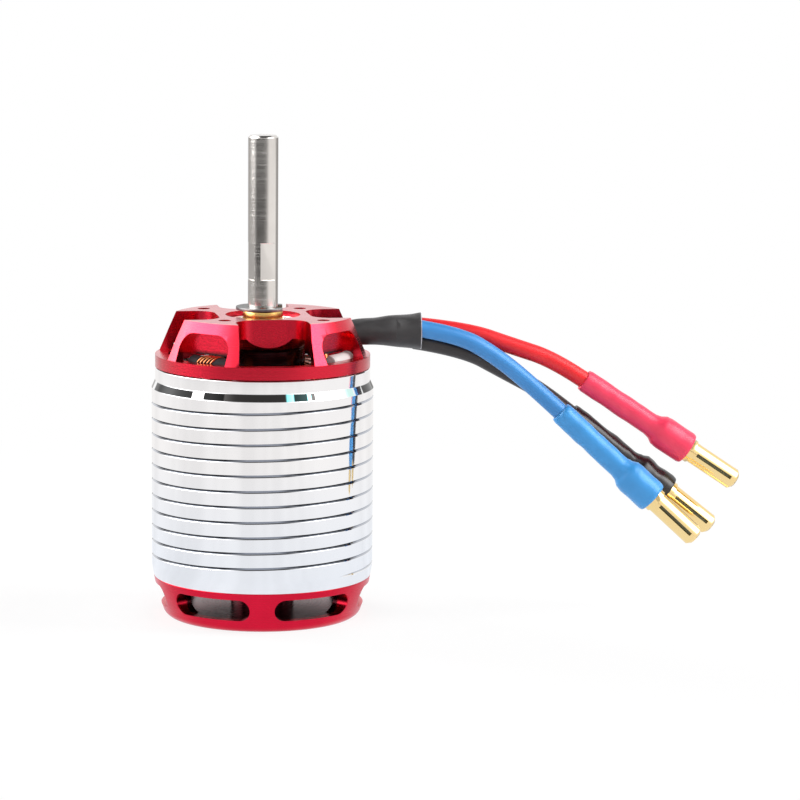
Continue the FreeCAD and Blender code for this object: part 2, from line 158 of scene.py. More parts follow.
def turnedPlace(tree, place):
    # distance from the axis and height, so that a pattern runs in rings like lathe marks
    radius = distance(tree, flattened(tree, place))
    height = axes(tree, place)["Z"]
    return addNode(tree, "ShaderNodeCombineXYZ", {0: radius, 1: height}).outputs[0]


def bumpFrom(tree, height, strength, distance, under=None):
    inputs = {"Height": height, "Strength": strength, "Distance": distance}
    if under is not None:
        inputs["Normal"] = under
    return addNode(tree, "ShaderNodeBump", inputs).outputs["Normal"]


def heldWithin(tree, value, low, high, soft):
    # 1 between the two limits, falling off over the soft width
    rise = spread(tree, value, 0, 1, low - soft, low + soft)
    fall = spread(tree, value, 1, 0, high - soft, high + soft)
    return calc(tree, "MULTIPLY", rise, fall)


def shadedInside(tree, colour, turned, regions):
    # painted shade: the anodising is painted dark on walls that lie deep inside, where shade falls
    split = axes(tree, turned)
    for region in regions:
        across = heldWithin(tree, split["X"], region["inner"], region["outer"], 0.0002)
        along = heldWithin(tree, split["Y"], region["low"], region["high"], 0.0004)
        colour = blendColour(tree, calc(tree, "MULTIPLY", across, along), colour, region["colour"])
    return colour


def metal(name, settings):
    # turned or ground metal: fine rings, soft clouding and a little wear
    material, tree, surface, place = startMaterial(name)
    turned = turnedPlace(tree, place)
    rings = grain(tree, turned, settings["ringScale"], 2.0)
    clouds = grain(tree, place, settings["cloudScale"], 4.0)
    fine = grain(tree, place, settings["cloudScale"] * 12, 2.0)
    colour = blendColour(tree, spread(tree, clouds, 0, 1), settings["colour"], settings["second"])
    uneven = calc(tree, "ADD", spread(tree, rings, -0.5, 0.5), spread(tree, clouds, -0.4, 0.4))
    rough = calc(tree, "MULTIPLY_ADD", uneven, settings["roughSpread"], settings["roughness"])
    normal = bumpFrom(tree, rings, settings["ringBump"], 0.00002)
    normal = bumpFrom(tree, fine, settings["grainBump"], 0.00002, normal)
    # painted shade on deep inner walls, in the regions listed under shade
    if "shade" in settings:
        colour = shadedInside(tree, colour, turned, settings["shade"])
    tree.links.new(colour, surface.inputs["Base Color"])
    tree.links.new(rough, surface.inputs["Roughness"])
    tree.links.new(normal, surface.inputs["Normal"])
    surface.inputs["Metallic"].default_value = 1.0
    surface.inputs["Coat Weight"].default_value = settings.get("coat", 0.0)
    surface.inputs["Coat Roughness"].default_value = settings.get("coatRoughness", 0.15)
    return material


def plastic(name, settings):
    # rubber, sleeve or moulded part: soft mottling and a fine skin
    material, tree, surface, place = startMaterial(name)
    mottle = grain(tree, place, settings["mottleScale"], 4.0)
    skin = grain(tree, place, settings["skinScale"], 3.0)
    colour = blendColour(tree, spread(tree, mottle, 0, 1), settings["colour"], settings["second"])
    rough = spread(tree, skin, settings["roughness"] - 0.02, settings["roughness"] + 0.02)
    normal = bumpFrom(tree, mottle, settings["mottleBump"], 0.0002)
    normal = bumpFrom(tree, skin, settings["skinBump"], 0.00005, normal)
    tree.links.new(colour, surface.inputs["Base Color"])
    tree.links.new(rough, surface.inputs["Roughness"])
    tree.links.new(normal, surface.inputs["Normal"])
    surface.inputs["Specular IOR Level"].default_value = settings.get("specular", 0.5)
    return material


# the shade regions below are painted shade: dark colour on walls that lie deep inside the mount and the cap
metals = {
    "redAnodised": {"colour": (0.72, 0.006, 0.034), "second": (0.64, 0.005, 0.028), "roughness": 0.25,
                    "roughSpread": 0.10, "ringScale": 9000.0, "ringBump": 0.35, "cloudScale": 60.0,
                    "grainBump": 0.10, "coat": 0.5, "coatRoughness": 0.20, "shade": [
                        {"inner": -0.001, "outer": 0.0172, "low": 0.020, "high": 0.0550,
                         "colour": (0.03, 0.001, 0.003)}]},
    "capAnodised": {"colour": (0.78, 0.010, 0.045), "second": (0.68, 0.008, 0.036), "roughness": 0.27,
                    "roughSpread": 0.10, "ringScale": 9000.0, "ringBump": 0.35, "cloudScale": 60.0,
                    "grainBump": 0.10, "coat": 0.12, "shade": [
                        {"inner": -0.001, "outer": 0.0185, "low": 0.001, "high": 0.012,
                         "colour": (0.05, 0.003, 0.007)}]},
    "groundSteel": {"colour": (0.80, 0.77, 0.74), "second": (0.70, 0.67, 0.64), "roughness": 0.12,
                    "roughSpread": 0.05, "ringScale": 14000.0, "ringBump": 0.30, "cloudScale": 90.0,
                    "grainBump": 0.06},
    "springSteel": {"colour": (0.12, 0.12, 0.125), "second": (0.20, 0.19, 0.18), "roughness": 0.38,
                    "roughSpread": 0.15, "ringScale": 6000.0, "ringBump": 0.2, "cloudScale": 220.0,
                    "grainBump": 0.25},
    "bearingSteel": {"colour": (0.80, 0.79, 0.76), "second": (0.72, 0.71, 0.68), "roughness": 0.20,
                     "roughSpread": 0.10, "ringScale": 9000.0, "ringBump": 0.25, "cloudScale": 120.0,
                     "grainBump": 0.1},
    "cageBrass": {"colour": (0.72, 0.52, 0.22), "second": (0.60, 0.41, 0.16), "roughness": 0.34,
                  "roughSpread": 0.12, "ringScale": 7000.0, "ringBump": 0.2, "cloudScale": 150.0,
                  "grainBump": 0.2},
    "turnedBrass": {"colour": (0.84, 0.60, 0.20), "second": (0.74, 0.50, 0.15), "roughness": 0.22,
                    "roughSpread": 0.12, "ringScale": 8000.0, "ringBump": 0.35, "cloudScale": 150.0,
                    "grainBump": 0.12},
    "magnetNickel": {"colour": (0.50, 0.49, 0.46), "second": (0.42, 0.41, 0.39), "roughness": 0.30,
                     "roughSpread": 0.15, "ringScale": 3000.0, "ringBump": 0.08, "cloudScale": 120.0,
                     "grainBump": 0.25},
    "goldPlate": {"colour": (0.98, 0.74, 0.36), "second": (0.95, 0.69, 0.30), "roughness": 0.16,
                  "roughSpread": 0.02, "ringScale": 300.0, "ringBump": 0.0, "cloudScale": 60.0,
                  "grainBump": 0.0},
    # painted shade: dark colour for the plug core seen through the slits
    "paintedSlitShade": {"colour": (0.16, 0.17, 0.12), "second": (0.11, 0.12, 0.09), "roughness": 0.45,
                  "roughSpread": 0.05, "ringScale": 900.0, "ringBump": 0.0, "cloudScale": 200.0,
                  "grainBump": 0.0},
    "copperWire": {"colour": (0.60, 0.20, 0.06), "second": (0.44, 0.13, 0.045), "roughness": 0.30,
                   "roughSpread": 0.12, "ringScale": 1500.0, "ringBump": 0.05, "cloudScale": 200.0,
                   "grainBump": 0.15, "coat": 0.5},
    # painted shade: a darker copy of the copper wire for coil ends that lie in shade
    "darkEnamel": {"colour": (0.16, 0.045, 0.02), "second": (0.08, 0.022, 0.012), "roughness": 0.32,
                   "roughSpread": 0.12, "ringScale": 1500.0, "ringBump": 0.05, "cloudScale": 200.0,
                   "grainBump": 0.15, "coat": 0.5},
}

plastics = {
    "blackSleeve": {"colour": (0.020, 0.020, 0.022), "second": (0.034, 0.033, 0.036), "roughness": 0.60,
                    "specular": 0.12, "mottleScale": 260.0, "mottleBump": 0.35, "skinScale": 2600.0,
                    "skinBump": 0.1},
    "whiteSleeve": {"colour": (0.62, 0.62, 0.60), "second": (0.50, 0.50, 0.49), "roughness": 0.5,
                    "mottleScale": 220.0, "mottleBump": 0.3, "skinScale": 2600.0, "skinBump": 0.3},
    "greenInsulator": {"colour": (0.03, 0.12, 0.06), "second": (0.02, 0.08, 0.04), "roughness": 0.5,
                       "mottleScale": 200.0, "mottleBump": 0.2, "skinScale": 2200.0, "skinBump": 0.4},
    "blueSilicone": {"colour": (0.042, 0.24, 0.58), "second": (0.036, 0.21, 0.52), "roughness": 0.36,
                     "mottleScale": 180.0, "mottleBump": 0.03, "skinScale": 2400.0, "skinBump": 0.005},
    "redSilicone": {"colour": (0.80, 0.014, 0.020), "second": (0.70, 0.009, 0.014), "roughness": 0.40,
                    "mottleScale": 180.0, "mottleBump": 0.03, "skinScale": 2400.0, "skinBump": 0.005},
    "blackSilicone": {"colour": (0.018, 0.014, 0.014), "second": (0.027, 0.021, 0.021), "roughness": 0.38,
                      "mottleScale": 180.0, "mottleBump": 0.04, "skinScale": 2400.0, "skinBump": 0.005},
    "blueShrink": {"colour": (0.045, 0.29, 0.66), "second": (0.040, 0.26, 0.60), "roughness": 0.34,
                   "mottleScale": 260.0, "mottleBump": 0.05, "skinScale": 2600.0, "skinBump": 0.005},
    "redShrink": {"colour": (0.86, 0.045, 0.110), "second": (0.80, 0.036, 0.092), "roughness": 0.34,
                  "mottleScale": 260.0, "mottleBump": 0.05, "skinScale": 2600.0, "skinBump": 0.005},
    "blackShrink": {"colour": (0.016, 0.013, 0.013), "second": (0.026, 0.020, 0.020), "roughness": 0.28,
                    "mottleScale": 260.0, "mottleBump": 0.22, "skinScale": 2600.0, "skinBump": 0.06},
}


# painted shade on the can's fine groove and painted reflections and glints on its narrow cone; bearings in
# degrees
canMarks = {
    "wall": 0.02225, "groovesFrom": 0.0106, "groovesTo": 0.04604, "bandLow": 0.04634, "bandHigh": 0.04779,
    # the groove's colours are painted shade, darker over two arcs of bearing; the cone's colour is a painted
    # dark reflection
    "bandInner": 0.0211, "line": (0.50, 0.52, 0.57), "paintedShadeLine": (0.055, 0.06, 0.07),
    "paintedShadeBearings": [(-68.0, -14.0), (14.0, 54.0)], "paintedBandReflection": (0.040, 0.038, 0.037),
    # painted reflections: light and dark glints by bearing on the narrow cone
    "paintedGlints": [
        (-70.0, -20.0, (0.006, 0.006, 0.006)), (-38.6, -32.0, (0.95, 0.93, 0.92)),
        (12.2, 16.2, (0.30, 0.88, 0.90)), (16.2, 23.8, (0.010, 0.018, 0.018)),
        (23.8, 25.4, (0.34, 0.85, 0.85)), (28.2, 64.0, (0.95, 0.96, 0.96)),
        (45.0, 54.5, (0.66, 0.93, 0.88)), (-90.0, -76.0, (0.95, 0.95, 0.95)),
        (120.0, 126.0, (0.9, 0.9, 0.9)), (-142.0, -137.0, (0.9, 0.9, 0.9)),
    ],
}


def betweenBearings(tree, bearing, first, last, soft):
    return heldWithin(tree, bearing, math.radians(first), math.radians(last), soft)


def polishedCanSteel(name):
    # mirror finish, with painted shade along the fine groove and a painted dark reflection with painted
    # glints on the narrow cone under the rim
    material, tree, surface, place = startMaterial(name)
    turned = turnedPlace(tree, place)
    split = axes(tree, turned)
    radius, height = split["X"], split["Y"]
    wall = canMarks["wall"]
    clouds = grain(tree, place, 50.0, 4.0)
    bright = blendColour(tree, spread(tree, clouds, 0, 1), (0.93, 0.93, 0.94), (0.89, 0.89, 0.905))
    cut = heldWithin(tree, radius, wall - 0.0006, wall - 0.00005, 0.00003)
    grooved = heldWithin(tree, height, canMarks["groovesFrom"], canMarks["groovesTo"], 0.0002)
    groove = calc(tree, "MULTIPLY", cut, grooved)
    bearing = bearingRound(tree, place)
    # painted shade along the groove, darker over two arcs of bearing
    line = canMarks["line"]
    for first, last in canMarks["paintedShadeBearings"]:
        inside = betweenBearings(tree, bearing, first, last, 0.10)
        line = blendColour(tree, inside, line, canMarks["paintedShadeLine"])
    colour = blendColour(tree, groove, bright, line)
    # painted dark reflection on the narrow cone, with painted glints by bearing
    paintedBandReflection = canMarks["paintedBandReflection"]
    for first, last, tint in canMarks["paintedGlints"]:
        inside = betweenBearings(tree, bearing, first, last, 0.008)
        paintedBandReflection = blendColour(tree, inside, paintedBandReflection, tint)
    onBand = heldWithin(tree, height, canMarks["bandLow"], canMarks["bandHigh"], 0.00006)
    outside = spread(tree, radius, 0, 1, canMarks["bandInner"] - 0.0001, canMarks["bandInner"] + 0.0001)
    colour = blendColour(tree, calc(tree, "MULTIPLY", onBand, outside), colour, paintedBandReflection)
    rings = grain(tree, turned, 9000.0, 2.0)
    tree.links.new(colour, surface.inputs["Base Color"])
    tree.links.new(spread(tree, clouds, 0.045, 0.075), surface.inputs["Roughness"])
    tree.links.new(bumpFrom(tree, rings, 0.04, 0.00002), surface.inputs["Normal"])
    surface.inputs["Metallic"].default_value = 1.0
    return material


def sleeveRubber(name):
    # black heat-shrink, with a painted highlight: its mouth is painted pale grey where its rim catches the
    # light
    material, tree, surface, place = startMaterial(name)
    mouth = spread(tree, axes(tree, place)["X"], 0, 1, 0.03166, 0.03178)
    mottle = grain(tree, place, 260.0, 4.0)
    skin = grain(tree, place, 2600.0, 3.0)
    black = blendColour(tree, spread(tree, mottle, 0, 1), (0.020, 0.019, 0.020), (0.034, 0.032, 0.033))
    # painted highlight on the rim of the mouth
    colour = blendColour(tree, mouth, black, (0.42, 0.42, 0.45))
    tree.links.new(colour, surface.inputs["Base Color"])
    tree.links.new(spread(tree, skin, 0.36, 0.50), surface.inputs["Roughness"])
    normal = bumpFrom(tree, mottle, 0.3, 0.0002)
    tree.links.new(bumpFrom(tree, skin, 0.25, 0.00005, normal), surface.inputs["Normal"])
    return material


def laminatedSteel(name):
    # stacked sheets seen on edge
    material, tree, surface, place = startMaterial(name)
    sheetThickness = 0.00035
    sheets = calc(tree, "MULTIPLY", axes(tree, place)["Z"], 2 * math.pi / sheetThickness)
    wave = calc(tree, "SINE", sheets)
    clouds = grain(tree, place, 150.0, 4.0)
    colour = blendColour(tree, spread(tree, clouds, 0, 1), (0.20, 0.20, 0.21), (0.11, 0.105, 0.10))
    tree.links.new(colour, surface.inputs["Base Color"])
    tree.links.new(spread(tree, clouds, 0.35, 0.55), surface.inputs["Roughness"])
    tree.links.new(bumpFrom(tree, wave, 0.6, 0.00005), surface.inputs["Normal"])
    surface.inputs["Metallic"].default_value = 1.0
    return material


finishes = {name: metal(name, settings) for name, settings in metals.items()}
finishes.update({name: plastic(name, settings) for name, settings in plastics.items()})
finishes["coreSteel"] = laminatedSteel("coreSteel")
finishes["canSteel"] = polishedCanSteel("canSteel")
finishes["sleeveRubber"] = sleeveRubber("sleeveRubber")
slotFinish = {
    "red_anodised": "redAnodised", "polished_steel": "canSteel", "ground_steel": "groundSteel",
    "spring_steel": "springSteel", "bearing_steel": "bearingSteel", "cage_brass": "cageBrass",
    "brass": "turnedBrass", "core_steel": "coreSteel", "green_insulator": "greenInsulator",
    "copper_wire": "copperWire", "magnet": "magnetNickel", "black_sleeve": "blackSleeve",
    "white_sleeve": "whiteSleeve", "blue_silicone": "blueSilicone", "red_silicone": "redSilicone",
    "black_silicone": "blackSilicone", "blue_shrink": "blueShrink", "red_shrink": "redShrink",
    "black_shrink": "blackShrink", "gold_plate": "goldPlate",
}
# nodes whose finish differs from the rest of their slot
ownFinish = {"end_cap": "capAnodised", "lead_sleeve": "sleeveRubber", "bearing_circlip": "bearingSteel"}
for nodeName, nodeObject in frame["nodes"].items():
    nodeObject.data.materials.clear()
    nodeObject.data.materials.append(finishes[ownFinish.get(nodeName, slotFinish[nodeSlot[nodeName]])])
print("finishes mixed:", len(finishes))


# leads

leadRoutes = {
    "blue": [(30.5, 0.4, 58.2), (39.6, 1.1, 56.7), (47.0, 1.8, 52.3), (53.8, 2.6, 46.8), (60.2, 2.4, 40.9)],
    "red": [(30.5, 4.9, 58.1), (41.0, 5.5, 57.1), (50.6, 5.8, 53.8), (59.0, 6.6, 51.0), (65.3, 6.9, 46.8)],
    "black": [(30.5, 2.6, 55.3), (40.6, 4.2, 53.5), (48.9, 5.9, 48.8), (56.6, 7.3, 44.6), (62.7, 7.8, 39.7)],
}
leadDiameter = 0.0035


def layLead(colour, route):
    curve = bpy.data.curves.new(colour + "Lead", "CURVE")
    curve.dimensions = "3D"
    curve.bevel_depth = leadDiameter / 2
    curve.bevel_resolution = 8
    curve.use_fill_caps = True
    spline = curve.splines.new("NURBS")
    spline.points.add(len(route) - 1)
    for point, place in zip(spline.points, route):
        point.co = (place[0] * mm, place[1] * mm, place[2] * mm, 1)
    spline.order_u = 3
    spline.use_endpoint_u = True
    spline.resolution_u = 20
    lead = bpy.data.objects.new(colour + "Lead", curve)
    bpy.context.scene.collection.objects.link(lead)
    curve.materials.append(finishes[colour + "Silicone"])
    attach(lead, "stator")
    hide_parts(colour + "_wire")
    return lead


leads = {colour: layLead(colour, route) for colour, route in leadRoutes.items()}


# shared making

def finishPiece(shape, name, body, slotName, nodes, sharpAngle=32.0, weighted=True):
    mesh = bpy.data.meshes.new(name)
    for face in shape.faces:
        face.smooth = True
    shape.to_mesh(mesh)
    shape.free()
    mesh.set_sharp_from_angle(angle=math.radians(sharpAngle))
    piece = bpy.data.objects.new(name, mesh)
    bpy.context.scene.collection.objects.link(piece)
    own = [ownFinish[node] for node in nodes if node in ownFinish]
    mesh.materials.append(finishes[own[0] if own else slotFinish[slotName]])
    if weighted:
        normals = piece.modifiers.new("evenNormals", "WEIGHTED_NORMAL")
        normals.keep_sharp = True
    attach(piece, body)
    if nodes:
        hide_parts(*nodes)
    return piece


def brokenEdges(shape, width, angle=33.0, segments=2):
    # every sharp edge gets a rounded break: width is in metres, and in practice clamp_overlap sets the size
    sharp = [edge for edge in shape.edges if len(edge.link_faces) == 2
             and edge.calc_face_angle(0.0) > math.radians(angle)]
    bmesh.ops.bevel(shape, geom=sharp, offset=width, offset_type="OFFSET", affect="EDGES",
                    segments=segments, profile=0.5, material=-1, clamp_overlap=True)


def copyOfNode(nodeName):
    shape = bmesh.new()
    shape.from_mesh(frame["nodes"][nodeName].data)
    bmesh.ops.remove_doubles(shape, verts=shape.verts, dist=0.000003)
    bmesh.ops.dissolve_limit(shape, angle_limit=math.radians(0.8), verts=shape.verts, edges=shape.edges)
    return shape


def dressNode(nodeName, pieceName, edgeWidth, sharpAngle=32.0):
    # a node's own shape with its edges broken and its curves smooth
    shape = copyOfNode(nodeName)
    if edgeWidth:
        brokenEdges(shape, edgeWidth)
    body = frame["nodes"][nodeName]["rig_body"]
    return finishPiece(shape, pieceName, body, nodeSlot[nodeName], [nodeName], sharpAngle)


def bearingSpot(radius, bearing, height):
    # bearings in degrees: 0 faces -Y and 90 faces +X
    angle = math.radians(bearing - 90)
    return Vector((radius * math.cos(angle), radius * math.sin(angle), height))


def alongLine(start, direction):
    # places something made along +Z from the origin
    return Matrix.Translation(start) @ Vector(direction).to_track_quat("Z", "Y").to_matrix().to_4x4()


def skinRings(shape, rings, joined=False):
    # faces between each ring of points and the next, and round to the first one
    following = rings[1:] + rings[:1] if joined else rings[1:]
    for first, second in zip(rings, following):
        for side in range(len(first)):
            after = (side + 1) % len(first)
            shape.faces.new((first[side], first[after], second[after], second[side]))


def capEnds(shape, rings):
    shape.faces.new(rings[0][::-1])
    shape.faces.new(rings[-1])


def spunProfile(profile, steps):
    # profile: (radius, height) points in millimetres, turned about +Z
    shape = bmesh.new()
    verts = [shape.verts.new((radius * mm, 0, height * mm)) for radius, height in profile]
    edges = [shape.edges.new(pair) for pair in zip(verts, verts[1:])]
    bmesh.ops.spin(shape, geom=verts + edges, cent=(0, 0, 0), axis=(0, 0, 1), angle=2 * math.pi,
                   steps=steps, use_merge=True)
    bmesh.ops.remove_doubles(shape, verts=shape.verts, dist=0.000002)
    return shape


# grooved can

can = {"radius": 22.25, "bore": 20.0, "bottom": 8.07, "top": 50.29, "footRadius": 21.86, "footHeight": 2.2,
       "rimRadius": 21.57, "rimLow": 47.83, "coneHeight": 1.54, "pitch": 3.073, "grooveWidth": 0.6,
       "grooveDepth": 0.25, "lineAt": 44.0, "firstTurn": -3920.0, "lastTurn": 270.0, "fade": 40.0,
       "steps": 144, "edge": 0.12}


def makeCan():
    radius, pitch, half = can["radius"] * mm, can["pitch"] * mm, can["grooveWidth"] / 2 * mm
    depth = can["grooveDepth"] * mm
    wallLow = (can["bottom"] + can["footHeight"]) * mm
    wallHigh = (can["rimLow"] - can["coneHeight"]) * mm
    turns = math.ceil((wallHigh - wallLow) / pitch) + 3
    start = can["lineAt"] * mm - math.ceil((can["lineAt"] * mm - wallLow) / pitch + 1) * pitch
    shape = bmesh.new()
    # one pitch of wall with its groove, at the bearing of 0
    corners = [(radius, -pitch / 2), (radius, -half), (radius - depth, 0), (radius, half),
               (radius, pitch / 2)]
    verts = [shape.verts.new((0, -r, start + z)) for r, z in corners]
    edges = [shape.edges.new(pair) for pair in zip(verts, verts[1:])]
    bmesh.ops.spin(shape, geom=verts + edges, cent=(0, 0, 0), axis=(0, 0, 1), angle=2 * math.pi * turns,
                   steps=can["steps"] * turns, dvec=(0, 0, pitch / can["steps"]))
    for vert in shape.verts:
        across = math.hypot(vert.co.x, vert.co.y)
        if across < radius - depth / 2:
            turn = (vert.co.z / mm - can["lineAt"]) / can["pitch"] * 360
            keep = min(max((turn - can["firstTurn"]) / can["fade"], 0), 1)
            keep *= min(max((can["lastTurn"] - turn) / can["fade"], 0), 1)
            scale = (radius - depth * keep) / across
            vert.co.x *= scale
            vert.co.y *= scale
    bmesh.ops.remove_doubles(shape, verts=shape.verts, dist=0.000004)
    for height, normal in ((wallLow, (0, 0, -1)), (wallHigh, (0, 0, 1))):
        bmesh.ops.bisect_plane(shape, geom=shape.verts[:] + shape.edges[:] + shape.faces[:], dist=0.0000005,
                               plane_co=(0, 0, height), plane_no=normal, clear_outer=True)
    upper = [e for e in shape.edges if e.is_boundary and e.verts[0].co.z > (wallLow + wallHigh) / 2]
    lower = [e for e in shape.edges if e.is_boundary and e.verts[0].co.z < (wallLow + wallHigh) / 2]
    edge = can["edge"]
    # over the rim, down the bore and out to the foot
    rim = [(can["rimRadius"], can["rimLow"]), (can["rimRadius"], can["top"] - edge),
           (can["rimRadius"] - edge, can["top"]), (can["bore"] + edge, can["top"]),
           (can["bore"], can["top"] - edge), (can["bore"], can["bottom"] + edge),
           (can["bore"] + edge, can["bottom"]),
           (can["footRadius"] - edge, can["bottom"]), (can["footRadius"], can["bottom"] + edge)]
    loop = upper
    for newRadius, height in rim:
        made = bmesh.ops.extrude_edge_only(shape, edges=loop)["geom"]
        for vert in [item for item in made if isinstance(item, bmesh.types.BMVert)]:
            scale = newRadius * mm / math.hypot(vert.co.x, vert.co.y)
            vert.co = (vert.co.x * scale, vert.co.y * scale, height * mm)
        loop = [item for item in made if isinstance(item, bmesh.types.BMEdge)]
    bmesh.ops.bridge_loops(shape, edges=loop + lower)
    bmesh.ops.remove_doubles(shape, verts=shape.verts, dist=0.000001)
    bmesh.ops.recalc_face_normals(shape, faces=shape.faces)
    return finishPiece(shape, "canShell", "rotor", "polished_steel", ["flux_can"], 12.0)


makeCan()
print("can turned and grooved")


# machined and small metal pieces

# node: the piece's name and the most that its edges may be broken by, in metres, where 0 leaves them
# sharp: each mesh's shortest edges hold the break well under this
dressed = {
    "mount": ("mountBody", 0.16), "end_cap": ("endCap", 0.14), "shaft": ("outputShaft", 0.05),
    "hub_screws": ("grubScrews", 0.05), "shaft_spacer": ("brassSpacer", 0.10),
    "shaft_clip": ("shaftClip", 0.07),
    "hub_spacer": ("hubSpacer", 0.08), "bearing_circlip": ("bearingCirclip", 0.08),
    "upper_inner_ring": ("upperInnerRing", 0.12), "upper_outer_ring": ("upperOuterRing", 0.15),
    "upper_shields": ("upperShields", 0.04), "upper_cage": ("upperCage", 0.0),
    "upper_balls": ("upperBalls", 0.0),
    "lower_inner_ring": ("lowerInnerRing", 0.12), "lower_outer_ring": ("lowerOuterRing", 0.15),
    "lower_shields": ("lowerShields", 0.04), "lower_cage": ("lowerCage", 0.0),
    "lower_balls": ("lowerBalls", 0.0),
    "star_sleeve": ("starSleeve", 0.2), "joint_sleeve": ("jointSleeve", 0.2),
    "winding_tails": ("windingTails", 0.0),
    "blue_phase": ("bluePhase", 0.0), "red_phase": ("redPhase", 0.0), "black_phase": ("blackPhase", 0.0),
    "blue_bullet": ("blueBullet", 0.0), "red_bullet": ("redBullet", 0.0),
    "black_bullet": ("blackBullet", 0.0),
}
for number in range(1, 11):
    dressed["magnet_%02d" % number] = ("magnet%02d" % number, 0.15)
pieces = {nodeName: dressNode(nodeName, *values) for nodeName, values in dressed.items()}
print("metal pieces dressed:", len(pieces))


# black sleeve over the leads

# stations: a point on the middle line, half the width along Y and half the height
sleeve = {"stations": [((13.6, 1.9, 56.5), 2.4, 2.4), ((17.0, 2.25, 56.9), 2.5, 2.45),
                       ((20.5, 2.5, 57.2), 2.65, 2.6), ((24.0, 2.6, 57.25), 3.15, 2.85),
                       ((28.0, 2.7, 57.2), 4.0, 3.35), ((31.8, 2.75, 57.2), 4.62, 3.72)],
          "wall": 0.4, "depth": 5.0, "sides": 48, "rings": 6, "lump": 0.09}


def sleeveStation(share):
    # smooth run through the stations: centre and the two half widths
    stations = sleeve["stations"]
    place = share * (len(stations) - 1)
    index = min(int(place), len(stations) - 2)
    part = place - index
    around = [stations[max(0, min(len(stations) - 1, index + step))] for step in (-1, 0, 1, 2)]

    def between(values):
        a, b, c, d = values
        return 0.5 * (2 * b + (c - a) * part + (2 * a - 5 * b + 4 * c - d) * part ** 2
                      + (3 * b - a - 3 * c + d) * part ** 3)

    centre = Vector([between([station[0][axis] for station in around]) for axis in range(3)])
    return centre, between([station[1] for station in around]), between([station[2] for station in around])


def makeSleeve():
    shape = bmesh.new()
    sides = sleeve["sides"]
    count = sleeve["rings"] * (len(sleeve["stations"]) - 1)
    sections = [(sleeveStation(step / count), 0.0, 1.0) for step in range(count + 1)]
    mouth = sections[-1][0]
    wall = sleeve["wall"]
    # over the rim and back down the inside
    for inset, back in ((0.12, -0.08), (wall, -0.02), (wall + 0.1, 0.6), (wall + 0.15, sleeve["depth"])):
        centre = mouth[0] - Vector((back, 0, 0))
        sections.append(((centre, mouth[1] - inset, mouth[2] - inset), back, 0.0))
    rings = []
    for (centre, halfY, halfZ), back, lump in sections:
        ring = []
        for side in range(sides):
            angle = 2 * math.pi * side / sides
            where = Vector((centre.x * 0.22, 1.3 * math.cos(angle), 1.3 * math.sin(angle)))
            eased = min(centre.x - sleeve["stations"][0][0][0], 4) / 4
            swell = 1 + lump * sleeve["lump"] * noise.noise(where) * eased
            place = centre + Vector((0, halfY * swell * math.cos(angle), halfZ * swell * math.sin(angle)))
            ring.append(shape.verts.new(place * mm))
        rings.append(ring)
    skinRings(shape, rings)
    capEnds(shape, rings)
    bmesh.ops.recalc_face_normals(shape, faces=shape.faces)
    return finishPiece(shape, "leadSleeve", "stator", "black_sleeve", ["lead_sleeve"], 50.0, weighted=False)


pieces["lead_sleeve"] = makeSleeve()


# copper strands over the end of the star sleeve

def sweepRound(shape, path, radius, sides):
    # round wire along an open run of points, closed at both ends
    rings = []
    for index, point in enumerate(path):
        ahead = (path[min(index + 1, len(path) - 1)] - path[max(index - 1, 0)]).normalized()
        across = ahead.cross(Vector((0, 0, 1))).normalized()
        up = across.cross(ahead)
        rings.append([shape.verts.new(point + radius * (math.cos(2 * math.pi * side / sides) * across
                                                        + math.sin(2 * math.pi * side / sides) * up))
                      for side in range(sides)])
    skinRings(shape, rings)
    capEnds(shape, rings)


# copper strands laid over the insulating sleeve in the left window

strands = {"ring": 17.25, "height": 52.6, "out": 1.62, "wire": 0.17,
           "from": (-43.0, -40.5, -38.0, -35.5, -33.0), "turn": 5.5, "top": 128, "front": 16, "steps": 10}


def makeStrands():
    shape = bmesh.new()
    for first in strands["from"]:
        path = []
        for step in range(strands["steps"] + 1):
            share = step / strands["steps"]
            angle = math.radians(strands["top"] + (strands["front"] - strands["top"]) * share)
            out = strands["ring"] + strands["out"] * math.cos(angle)
            height = strands["height"] + strands["out"] * math.sin(angle)
            path.append(bearingSpot(out * mm, first + strands["turn"] * (1 - share), height * mm))
        sweepRound(shape, path, strands["wire"] * mm, 8)
    bmesh.ops.recalc_face_normals(shape, faces=shape.faces)
    return finishPiece(shape, "copperStrands", "stator", "copper_wire", [], 60.0, weighted=False)


# coil ends that cross over above the coils
# runs: radius, height, first and last bearing, and rise in the middle

harness = {"wire": 0.42, "sides": 8, "steps": 26,
           "runs": [(12.2, 47.6, -80, 10, 2.6), (13.4, 48.2, -35, 62, 3.0), (11.4, 49.2, -60, 44, 2.2),
                    (14.4, 47.8, -20, 50, 4.0), (12.8, 49.6, 100, 215, 2.0), (13.8, 48.0, 140, 262, 2.6),
                    (11.6, 48.8, 170, 250, 2.4), (13.0, 48.8, 20, 96, 2.2), (14.2, 48.6, 230, 318, 2.4)]}


def makeHarness():
    shape = bmesh.new()
    steps = harness["steps"]
    for radius, low, first, last, rise in harness["runs"]:
        path = []
        for step in range(steps + 1):
            share = step / steps
            lift = rise * math.sin(math.pi * share) ** 0.7
            out = radius + 0.5 * math.sin(5.0 * share + radius)
            path.append(bearingSpot(out * mm, first + (last - first) * share, (low - 1.6 + lift) * mm))
        sweepRound(shape, path, harness["wire"] * mm, harness["sides"])
    bmesh.ops.recalc_face_normals(shape, faces=shape.faces)
    piece = finishPiece(shape, "coilEnds", "stator", "copper_wire", [], 60.0, weighted=False)
    # the coil ends take a darker copy of the copper finish, as painted shade
    piece.data.materials[0] = finishes["darkEnamel"]
    return piece


makeHarness()
makeStrands()
print("sleeve and coil ends made")


# wound coils

coil = {"inner": 11.75, "outer": 14.75, "wire": 0.46, "halfWidth": 2.05, "low": 12.9, "high": 44.1,
        "layers": 2, "turns": 4, "sides": 8, "nesting": 0.86}


